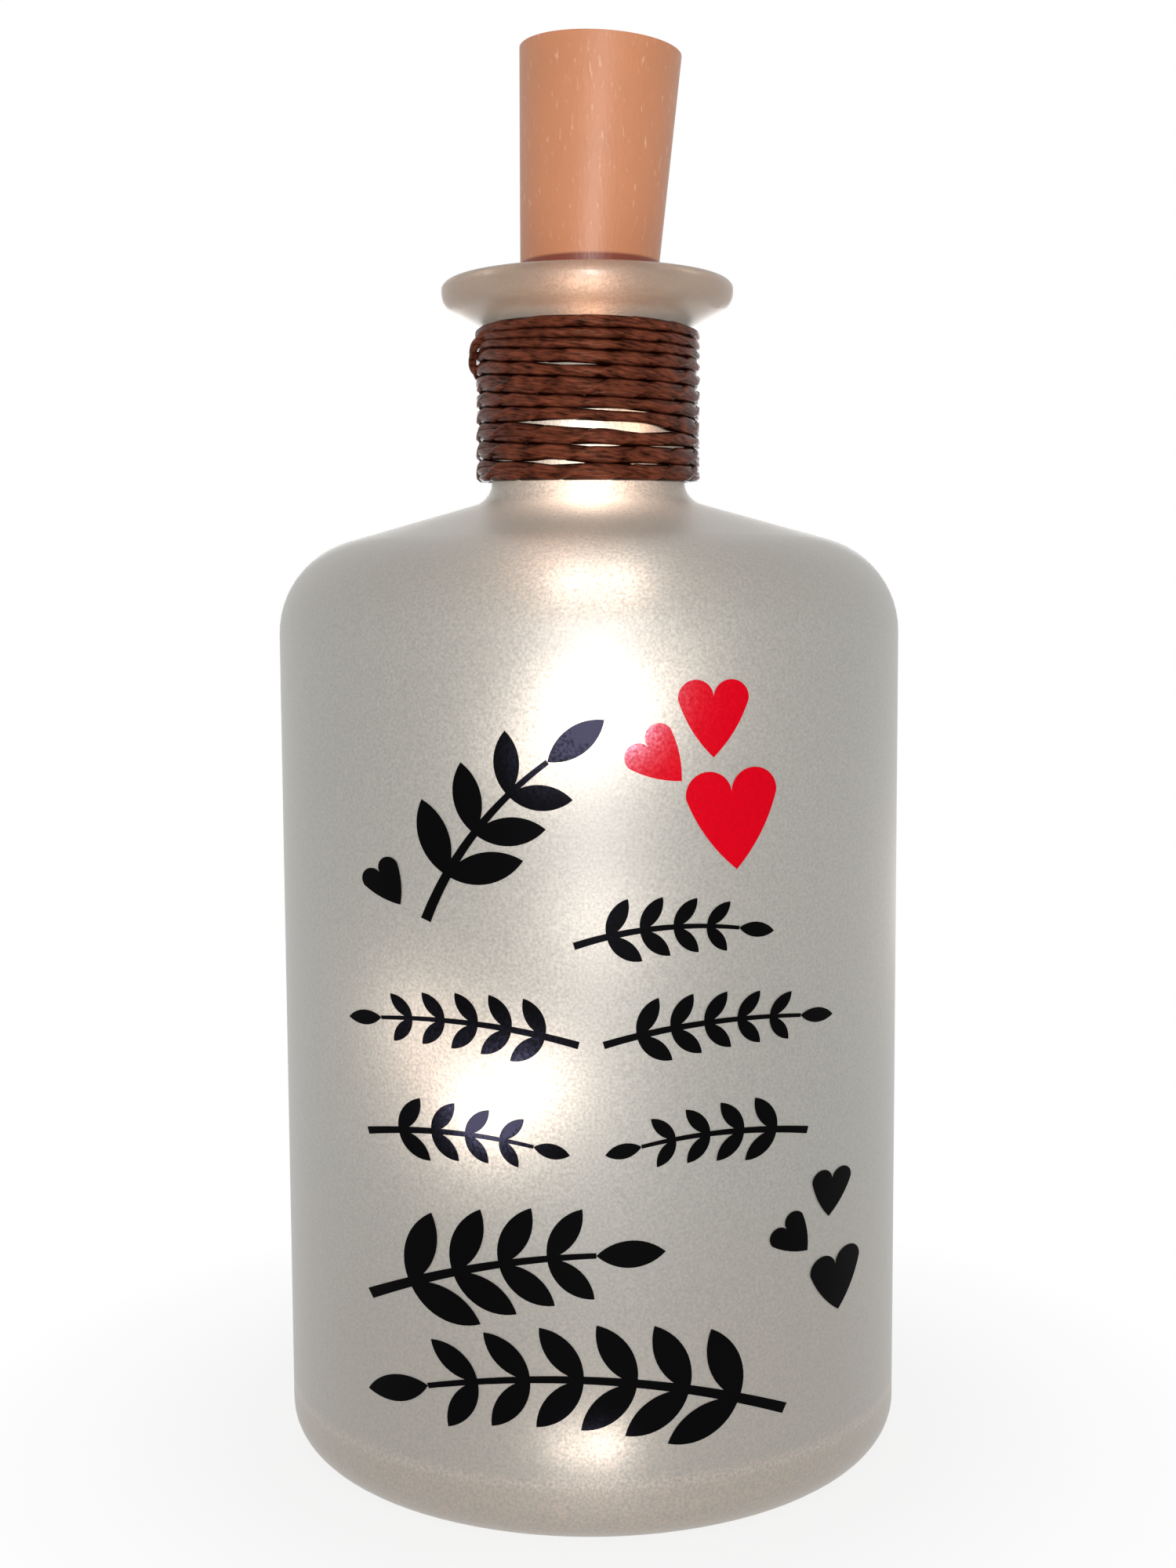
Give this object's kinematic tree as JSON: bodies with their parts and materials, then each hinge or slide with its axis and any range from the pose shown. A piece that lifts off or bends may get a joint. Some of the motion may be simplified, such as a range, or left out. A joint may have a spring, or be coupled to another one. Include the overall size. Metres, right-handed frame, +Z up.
{
  "type": "cork bottle light",
  "caption": "Frosted glass bottle lamp: a tapered cork-shaped stopper holds button cells and a switch and feeds a string of warm LEDs that hangs inside; cord winds round the neck.",
  "frame": {"origin": "middle of the bottle's foot, on the surface it stands on", "axes": "+Z up along the bottle's axis, front with the film towards -Y, +X to the right seen from the front"},
  "size_m": [0.085, 0.0851, 0.1906],
  "materials": {
    "frosted_glass": "acid-etched frosting, satin",
    "waxed_cord": "twisted, waxed",
    "black_vinyl": "cut film, satin",
    "red_vinyl": "cut film, satin",
    "copper_wire": "bare, lacquered",
    "cork_plastic": "moulded, satin",
    "black_rubber": "moulded",
    "cradle_plastic": "moulded",
    "nickel_steel": "nickel plated",
    "contact_brass": "stamped",
    "green_board": "solder mask",
    "resistor_ceramic": "glazed top",
    "clear_epoxy": "cast clear drop",
    "led_chip": "phosphor, warm white",
    "seal_nylon": "moulded",
    "black_plastic": "moulded"
  },
  "bodies": {
    "bottle": {"glass_bottle": "frosted_glass", "neck_cord": "waxed_cord", "cord_tuck": "waxed_cord", "decal_black": "black_vinyl", "decal_red": "red_vinyl", "light_wire": "copper_wire", "led_bead_02": "clear_epoxy", "led_bead_03": "clear_epoxy", "led_bead_04": "clear_epoxy", "led_bead_05": "clear_epoxy", "led_bead_06": "clear_epoxy", "led_bead_07": "clear_epoxy", "led_bead_08": "clear_epoxy", "led_bead_09": "clear_epoxy", "led_bead_10": "clear_epoxy", "led_chip_02": "led_chip", "led_chip_03": "led_chip", "led_chip_04": "led_chip", "led_chip_05": "led_chip", "led_chip_06": "led_chip", "led_chip_07": "led_chip", "led_chip_08": "led_chip", "led_chip_09": "led_chip", "led_chip_10": "led_chip"},
    "cork": {"cork_shell": "cork_plastic", "wire_grommet": "black_rubber", "led_bead_01": "clear_epoxy", "led_chip_01": "led_chip"},
    "cartridge": {"battery_cradle": "cradle_plastic", "cartridge_cap": "cork_plastic", "cell_can_1": "nickel_steel", "cell_seal_1": "seal_nylon", "cell_cap_1": "nickel_steel", "cell_can_2": "nickel_steel", "cell_seal_2": "seal_nylon", "cell_cap_2": "nickel_steel", "cell_can_3": "nickel_steel", "cell_seal_3": "seal_nylon", "cell_cap_3": "nickel_steel", "contact_spring": "nickel_steel", "positive_contact": "contact_brass", "return_strip": "contact_brass", "circuit_board": "green_board", "resistor": "resistor_ceramic", "string_leads": "copper_wire", "switch_housing": "nickel_steel", "switch_terminals": "contact_brass"},
    "switch": {"switch_knob": "black_plastic"}
  },
  "joints": [
    {"name": "cork_pull", "type": "slide", "parent": "bottle", "child": "cork", "axis": [0, 0, 1], "range_m": [0, 0.05], "deforming": ["light_wire"]},
    {"name": "cartridge_pull", "type": "slide", "parent": "cork", "child": "cartridge", "axis": [0.0576, 0, 0.9983], "range_m": [0, 0.03]},
    {"name": "switch_slide", "type": "slide", "parent": "cartridge", "child": "switch", "axis": [0.9983, 0, -0.0576], "range_m": [-0.002, 0]}
  ]
}
